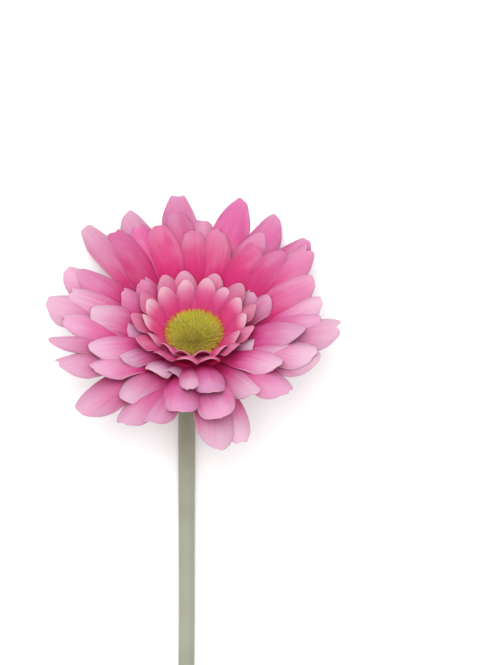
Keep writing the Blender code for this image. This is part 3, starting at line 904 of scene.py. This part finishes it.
def add_fibre(build, share, turn, look):
    """A curved, tapered fibre at a share of the disc's radius, leaning out more at the rim."""
    length = look.uniform(*FIBRE_LENGTHS) * MM
    lean = FIBRE_LEAN + RIM_LEAN * share**2 + look.uniform(-LOOSE_LEAN, LOOSE_LEAN)
    twist = look.uniform(-LOOSE_TWIST, LOOSE_TWIST)
    bend = look.uniform(*FIBRE_BENDS) * share
    radius = look.uniform(*FIBRE_RADII) * MM
    outward = np.array([math.cos(turn), math.sin(turn), 0])
    sideways = np.array([-math.sin(turn), math.cos(turn), 0])
    upward = np.array([0, 0, 1])
    start = outward * share * (DISC_RADIUS - FIBRE_INSET)
    start = start + upward * (disc_height(share) - FIBRE_SUNK)
    places = np.linspace(0, 1, len(FIBRE_TAPER))
    heading = math.radians(lean) + bend * places[:-1]
    travel = np.stack([np.sin(heading), np.cos(heading)], axis=-1) * length / len(heading)
    line = np.concatenate([[[0, 0]], np.cumsum(travel, axis=0)])
    centres = start + line[:, :1] * (outward + sideways * twist) + line[:, 1:] * upward
    thick = radius * np.array(FIBRE_TAPER)
    around = np.linspace(0, 2 * np.pi, FIBRE_SIDES, endpoint=False) + turn
    flat = np.cos(around)[:, None] * outward + np.sin(around)[:, None] * sideways
    rings = centres[:, None, :] + thick[:, None, None] * flat[None]
    far = math.sin(turn)
    tone = look.random() + FAR_TONE * share * far
    fringe = min(1, max(0, share - FRINGE[0]) / (FRINGE[1] - FRINGE[0]))
    fringe *= look.uniform(*FRINGE_STRENGTHS) * (FRINGE_TURN[0] + FRINGE_TURN[1] * far)
    add_skin(
        build,
        to_frame(rings[::-1]),
        to_frame(centres[[-1, 0]]),
        along=places[::-1],
        tone=min(1, max(0, tone)),
        deep=fringe,
    )


def make_disc():
    """A domed core under a brush of fibres, placed in a sunflower's spiral."""
    build = Build()
    core = [(share * DISC_RADIUS, disc_height(share)) for share in np.linspace(0, 1, CORE_POINTS)]
    core += [(DISC_RADIUS, DISC_BASE), (0, DISC_BASE)]
    add_turned(build, core, CORE_SIDES, along=0.05, tone=0.5)
    look = random.Random(LOOK_SEED + 2)
    golden = math.pi * (3 - math.sqrt(5))
    for number in range(FIBRES):
        turn = number * golden + look.uniform(-LOOSE_TURN, LOOSE_TURN)
        add_fibre(build, math.sqrt((number + 0.5) / FIBRES), turn, look)
    build.make_object("disc_brush", brush_material(), "disc")


def make_calyx():
    """A cup under the petals with two rows of small bracts."""
    build = Build()
    cup = rounded(
        (
            (0, CALYX_TOP),
            (CALYX_RADIUS, CALYX_TOP),
            (CALYX_RADIUS + CALYX_LIP, CALYX_TOP - 0.1 * CALYX_DEPTH),
            (0.88 * CALYX_RADIUS, CALYX_TOP - 0.48 * CALYX_DEPTH),
            (0.58 * CALYX_RADIUS, CALYX_TOP - 0.82 * CALYX_DEPTH),
            (STEM_TOP_RADIUS + 2 * CALYX_LIP, CALYX_BOTTOM),
            (0, CALYX_BOTTOM),
        )
    )
    add_turned(build, cup, CALYX_SIDES, along=0.2, rim=NO_RIM, tone=1)
    draws = random.Random(SEED + 2)
    look = random.Random(LOOK_SEED + 3)
    for whorl in BRACT_WHORLS:
        for petal in petals_of(whorl, draws):
            add_petal(build, petal, BRACT_FINISH, look)
    build.make_object("calyx_bracts", leaf_material(), "calyx")


def stem_route():
    """Points down the middle of the stem from the calyx to its cut end, each with its radius."""
    top_radius = STEM_TOP_RADIUS * STEM_SHARE
    end_radius = STEM_END_RADIUS * STEM_SHARE
    flat = math.cos(math.pi / STEM_SIDES)
    top = HEAD_TO_FRAME @ Vector((0, 0, CALYX_BOTTOM - GAP))
    bend = math.radians(90) - HEAD_TILT
    drop = top.z - STEM_TOP_RADIUS * flat
    straight = (drop - NECK_RADIUS * (1 - math.cos(bend))) / math.sin(bend)
    start = top - straight * Vector((0, math.cos(bend), math.sin(bend)))
    yield top, top_radius
    for step in range(NECK_STEPS + 1):
        turned = step / NECK_STEPS
        left = bend * (1 - turned)
        along = NECK_RADIUS * (math.sin(bend) - math.sin(left))
        down = NECK_RADIUS * (math.cos(left) - math.cos(bend))
        aside = STEM_SHIFT * turned**2 * (3 - 2 * turned)
        yield start + Vector((aside, -along, -down)), top_radius
    disc = HEAD_TO_FRAME.translation
    neck_end = start.y - NECK_RADIUS * math.sin(bend) - disc.y
    for step in range(1, ROD_STEPS + 1):
        share = step / ROD_STEPS
        y = between((neck_end, -STEM_END), share)
        radius = between((top_radius, end_radius), share)
        bow = max(0, (-y - BOW_FROM) / (STEM_END - BOW_FROM)) ** BOW_POWER
        yield Vector((disc.x + STEM_SHIFT + STEM_BOW * bow, disc.y + y, radius)), radius


def make_stem():
    """A round rod with faint lengthwise ribs, whose end is cut off flat with a softened edge."""
    build = Build()
    route = list(stem_route())
    centres = np.array([tuple(place) for place, _ in route])
    radii = np.array([radius for _, radius in route])
    gaps = np.linalg.norm(np.diff(centres, axis=0), axis=1)
    travelled = np.concatenate([[0], np.cumsum(gaps)])
    heading = np.gradient(centres, travelled, axis=0)
    heading /= np.linalg.norm(heading, axis=1, keepdims=True)
    last = len(route) - 1
    order = [*range(last), *[last] * len(CUT_EDGE)]
    shares, short, pale = np.array([(1, 0, 0)] * last + [*CUT_EDGE]).T
    heading = heading[order]
    centres = centres[order] - heading * short[:, None]
    radii = radii[order] * shares
    travelled = travelled[order]
    side = np.cross(heading, [0, 0, 1.0])
    side /= np.linalg.norm(side, axis=1, keepdims=True)
    up = np.cross(side, heading)
    around = np.linspace(0, 2 * np.pi, ROD_SIDES, endpoint=False)
    ribs = 1 + RIB_HEIGHT * np.cos(RIBS * around)[None, :]
    swells = 1 + SWELL * np.sin(travelled / SWELL_LENGTH)[:, None]
    grown = (radii[:, None] * ribs * swells)[..., None]
    rings = (
        centres[:, None, :]
        + grown * np.cos(around)[None, :, None] * side[:, None, :]
        + grown * np.sin(around)[None, :, None] * up[:, None, :]
    )
    rings[..., 2] = np.maximum(rings[..., 2], TABLE_CLEARANCE)
    add_skin(build, rings, centres[[0, -1]], along=travelled / travelled[-1], pale=pale)
    build.make_object("stem_rod", stem_material(), "stem")


# --- The studio. Places are in metres from the middle of the disc, and powers in watts
FLOOR_REACH = 3  # from the middle to each side
KEY_PLACE = (-0.45, 0.8, 1.35)
KEY_SIZE = 1.4
KEY_POWER = 9
FILL_PLACE = (0.1, 0.2, 1.9)
FILL_SIZE = 1.3
FILL_POWER = 19
SKY = 0.9  # brightness of the white surroundings
CAMERA_ASIDE = (0.0184, -0.0006)
CAMERA_ABOVE_TABLE = 1.1
FRAMED_WIDTH = 0.1933  # at the height of the disc
SENSOR_WIDTH = 36  # millimetres


def add_floor():
    """A plain pale tabletop at z = 0."""
    mesh = bpy.data.meshes.new("floor")
    reach = FLOOR_REACH
    corners = [(-reach, -reach, 0), (reach, -reach, 0), (reach, reach, 0), (-reach, reach, 0)]
    mesh.from_pydata(corners, [], [(0, 1, 2, 3)])
    floor = bpy.data.objects.new("floor", mesh)
    bpy.context.scene.collection.objects.link(floor)
    nodes = Nodes("floor_white", roughness=0.9)
    nodes.shader.inputs["Base Color"].default_value = (*FLOOR_COLOUR, 1)
    mesh.materials.append(nodes.material)


def add_light(name, place, size, power):
    """A soft round light that shines on the head from a place measured from it."""
    light = bpy.data.lights.new(name, "AREA")
    light.shape = "DISK"
    light.size = size
    light.energy = power
    obj = bpy.data.objects.new(name, light)
    obj.location = HEAD_TO_FRAME.translation + Vector(place)
    obj.rotation_euler = (-Vector(place)).to_track_quat("-Z", "Y").to_euler()
    bpy.context.scene.collection.objects.link(obj)


def add_studio():
    """A soft light from beyond the head, a stronger one from above it, and white surroundings."""
    add_light("key", KEY_PLACE, KEY_SIZE, KEY_POWER)
    add_light("fill", FILL_PLACE, FILL_SIZE, FILL_POWER)
    world = bpy.data.worlds.new("studio")
    world.use_nodes = True
    background = world.node_tree.nodes["Background"]
    background.inputs["Color"].default_value = (1, 1, 1, 1)
    background.inputs["Strength"].default_value = SKY
    bpy.context.scene.world = world
    bpy.context.scene.view_settings.view_transform = "Standard"


def add_camera():
    """Looks straight down on the head, which fills most of the frame's width."""
    camera = bpy.data.cameras.new("camera")
    above = CAMERA_ABOVE_TABLE - DISC_ABOVE_TABLE
    camera.sensor_fit = "HORIZONTAL"
    camera.sensor_width = SENSOR_WIDTH
    camera.lens = SENSOR_WIDTH * above / FRAMED_WIDTH
    obj = bpy.data.objects.new("camera", camera)
    obj.location = HEAD_TO_FRAME.translation + Vector((*CAMERA_ASIDE, above))
    bpy.context.scene.collection.objects.link(obj)
    bpy.context.scene.camera = obj


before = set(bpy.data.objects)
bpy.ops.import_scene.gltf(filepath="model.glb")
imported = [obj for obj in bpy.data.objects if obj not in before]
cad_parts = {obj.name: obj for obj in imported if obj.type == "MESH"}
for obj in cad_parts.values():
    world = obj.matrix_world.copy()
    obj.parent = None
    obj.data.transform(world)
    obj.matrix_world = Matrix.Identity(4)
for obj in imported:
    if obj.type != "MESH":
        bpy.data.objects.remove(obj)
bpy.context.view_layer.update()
stem_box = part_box("stem")
disc_x = stem_box[1].x - STEM_TOP_RADIUS * math.cos(math.pi / STEM_SIDES)
disc_y = stem_box[0].y + STEM_END
HEAD_TO_FRAME = Matrix.Translation((disc_x, disc_y, DISC_ABOVE_TABLE)) @ Matrix.Rotation(
    -HEAD_TILT, 4, "X"
)
make_ray_petals()
make_inner_petals()
make_disc()
make_calyx()
make_stem()
add_floor()
add_studio()
add_camera()
